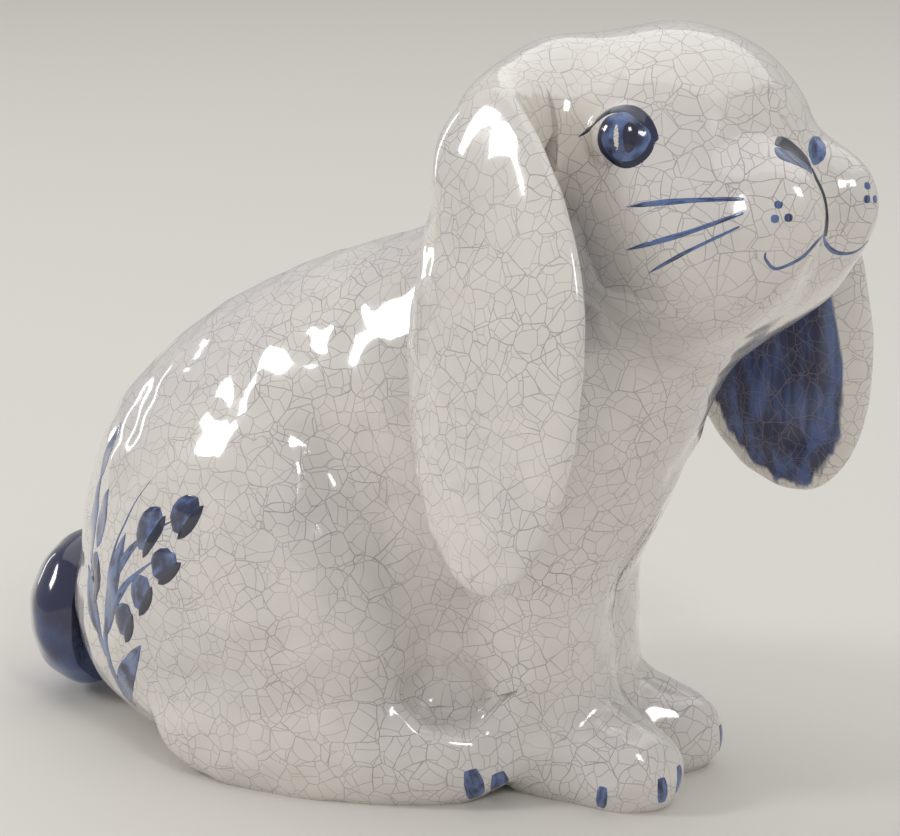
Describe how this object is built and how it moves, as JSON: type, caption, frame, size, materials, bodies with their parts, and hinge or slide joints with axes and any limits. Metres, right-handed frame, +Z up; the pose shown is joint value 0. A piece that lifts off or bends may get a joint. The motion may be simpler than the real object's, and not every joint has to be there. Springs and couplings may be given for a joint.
{
  "type": "rabbit figurine",
  "caption": "Sitting lop-eared rabbit figurine in white crackle-glazed earthenware with blue brushwork, hollow cast, for standing on a shelf or table.",
  "frame": {"origin": "on the floor, in the figure's middle plane, between the forelegs and the haunches", "axes": "+X forward, the way the rabbit's body faces; +Y to the rabbit's left; +Z up"},
  "size_m": [0.2799, 0.1661, 0.2309],
  "materials": {
    "white_glaze": "glossy, crackled",
    "blue_glaze": "glossy",
    "slip": "fired, under the glaze"
  },
  "bodies": {
    "root": {"body_shell": "white_glaze", "head_shell": "white_glaze", "neck_slip_joint": "slip", "left_ear": "white_glaze", "right_ear": "white_glaze", "left_ear_slip_joint": "slip", "right_ear_slip_joint": "slip", "left_foreleg": "white_glaze", "right_foreleg": "white_glaze", "left_foreleg_slip_joint": "slip", "right_foreleg_slip_joint": "slip", "foreleg_pair_slip_joint": "slip", "left_hind_foot": "white_glaze", "right_hind_foot": "white_glaze", "left_hind_foot_slip_joint": "slip", "right_hind_foot_slip_joint": "slip", "tail": "blue_glaze", "tail_slip_joint": "slip"}
  },
  "joints": []
}
